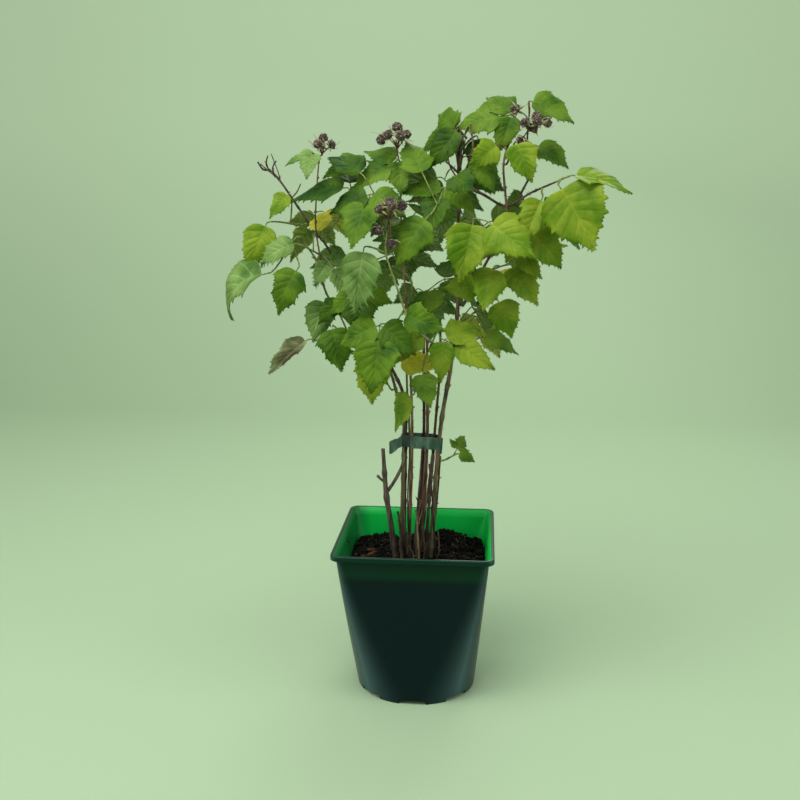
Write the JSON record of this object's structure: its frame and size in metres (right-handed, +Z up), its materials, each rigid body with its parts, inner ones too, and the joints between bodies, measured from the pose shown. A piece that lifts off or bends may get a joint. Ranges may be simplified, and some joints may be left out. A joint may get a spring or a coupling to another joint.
{
  "type": "potted raspberry cane",
  "caption": "Raspberry cane in a square green plastic pot: slender canes tied together, arching leafy sprays and dried fruit heads.",
  "frame": {"origin": "middle of the pot's flat underside, where it stands", "axes": "+Z up along the canes, -Y the front that the picture shows, +X the plant's right in that view"},
  "size_m": [0.3891, 0.1955, 0.5996],
  "materials": {
    "pot_plastic": "satin",
    "compost": "matt, crumbly",
    "tie_tape": "satin",
    "bark_tan": "matt bark",
    "bark_brown": "matt bark",
    "bark_green": "matt bark",
    "bark_pale": "matt bark",
    "bark_red": "matt bark",
    "leaf_fresh": "soft satin leaf",
    "leaf_yellow_green": "soft satin leaf",
    "leaf_dark": "soft satin leaf",
    "leaf_pale": "soft satin leaf",
    "leaf_withered": "soft satin leaf"
  },
  "bodies": {
    "root": {"bough_brown": "bark_brown", "bough_dark": "bark_red", "bough_front": "bark_green", "bough_long": "bark_red", "bough_right": "bark_red", "cane_dark": "bark_brown", "cane_green": "bark_green", "cane_inner": "bark_brown", "cane_left": "bark_tan", "cane_low_left": "bark_green", "cane_right": "bark_tan", "cane_slim": "bark_brown", "cane_tan": "bark_tan", "dead_fork": "bark_brown", "pot": "pot_plastic", "soil": "compost", "spray_arch": "leaf_dark", "spray_back_far_left": "leaf_yellow_green", "spray_back_far_right": "leaf_fresh", "spray_back_green": "leaf_fresh", "spray_back_left": "leaf_dark", "spray_back_low": "leaf_dark", "spray_back_low_right": "leaf_fresh", "spray_back_middle": "leaf_dark", "spray_back_right": "leaf_fresh", "spray_back_top": "leaf_dark", "spray_cross": "leaf_dark", "spray_crown": "leaf_dark", "spray_crown_right": "leaf_dark", "spray_far_left": "leaf_pale", "spray_front_fruit": "leaf_pale", "spray_front_low": "leaf_yellow_green", "spray_front_right": "leaf_yellow_green", "spray_inner_left": "leaf_dark", "spray_left_edge": "leaf_yellow_green", "spray_left_fruit": "leaf_pale", "spray_left_long": "leaf_dark", "spray_left_low": "leaf_dark", "spray_left_middle": "leaf_pale", "spray_low_left": "leaf_yellow_green", "spray_low_middle": "leaf_dark", "spray_low_right": "leaf_fresh", "spray_mid_low": "leaf_yellow_green", "spray_mid_right": "leaf_yellow_green", "spray_pale_low": "leaf_pale", "spray_right": "leaf_yellow_green", "spray_right_inner": "leaf_yellow_green", "spray_right_low": "leaf_yellow_green", "spray_round": "leaf_dark", "spray_top": "leaf_fresh", "spray_top_back": "leaf_fresh", "spray_top_fruit": "leaf_fresh", "spray_top_hang": "leaf_yellow_green", "spray_top_middle": "leaf_fresh", "spray_withered": "leaf_withered", "sprig_low": "leaf_fresh", "stub_pale": "bark_pale", "stub_pointed": "bark_brown", "tie": "tie_tape"}
  },
  "joints": []
}
